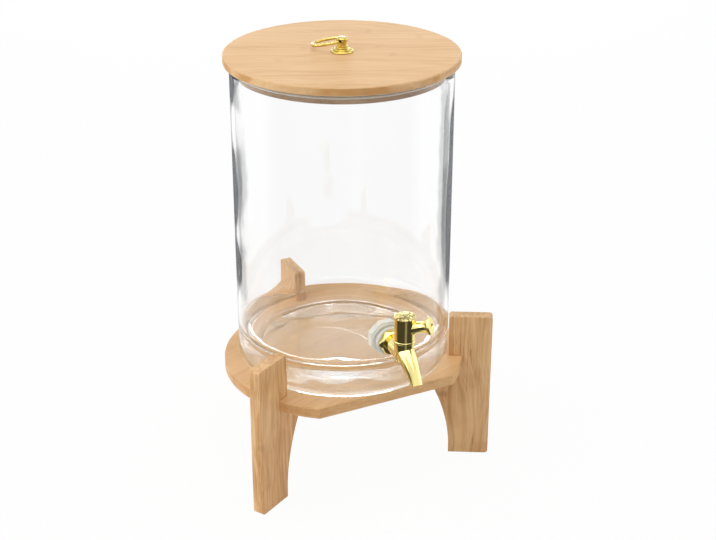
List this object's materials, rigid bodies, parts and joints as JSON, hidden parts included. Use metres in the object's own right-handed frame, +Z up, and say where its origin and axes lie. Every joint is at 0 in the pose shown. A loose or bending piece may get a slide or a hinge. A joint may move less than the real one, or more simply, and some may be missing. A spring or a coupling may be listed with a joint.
{
  "type": "drink dispenser",
  "caption": "Glass drink dispenser with a lever tap, a bamboo lid with a ring handle, and a three-legged bamboo stand.",
  "frame": {"origin": "centre of the dispenser's base rectangle, at floor level", "axes": "+Z up, -Y towards the tap, +X to the right of someone who faces the tap"},
  "size_m": [0.2566, 0.3068, 0.4266],
  "materials": {
    "bamboo": "satin oiled bamboo, fine straight grain",
    "bamboo_leg": "satin oiled bamboo, grain upright",
    "glass": "clear, polished",
    "gold": "polished gold plating",
    "silicone": "matte, translucent white",
    "nut_plastic": "translucent white",
    "seal_rubber": "matte black",
    "steel": "plain"
  },
  "bodies": {
    "stand": {"base_plate": "bamboo", "leg_rear": "bamboo_leg", "leg_front_left": "bamboo_leg", "leg_front_right": "bamboo_leg"},
    "jar": {"glass_jar": "glass", "tap_body": "gold", "tap_washer_outer": "silicone", "tap_washer_inner": "silicone", "tap_nut": "nut_plastic"},
    "valve": {"tap_plug": "gold", "plug_seal_upper": "seal_rubber", "plug_seal_lower": "seal_rubber", "tap_handle": "gold", "lever_knob": "gold", "tap_cap": "gold", "valve_screw": "steel"},
    "lid": {"lid_board": "bamboo", "lid_plug": "bamboo", "lid_gasket": "silicone", "handle_rosette": "gold", "handle_post": "gold", "handle_washer": "steel", "handle_screw": "steel"},
    "ring": {"handle_ring": "gold"}
  },
  "joints": [
    {"name": "jar_lift", "type": "slide", "parent": "stand", "child": "jar", "axis": [0, 0, 1], "range_m": [0, 0.06]},
    {"name": "lid_lift", "type": "slide", "parent": "jar", "child": "lid", "axis": [0, 0, 1], "range_m": [0, 0.1]},
    {"name": "tap_turn", "type": "hinge", "parent": "jar", "child": "valve", "pos_m": [-0.00461, -0.12352, 0.1695], "axis": [0, 0, 1], "range_deg": [-45, 45]},
    {"name": "ring_swing", "type": "hinge", "parent": "lid", "child": "ring", "pos_m": [0, 0.0084, 0.423], "axis": [0.8746, 0.4848, 0], "range_deg": [-3.8, 151.5]}
  ]
}
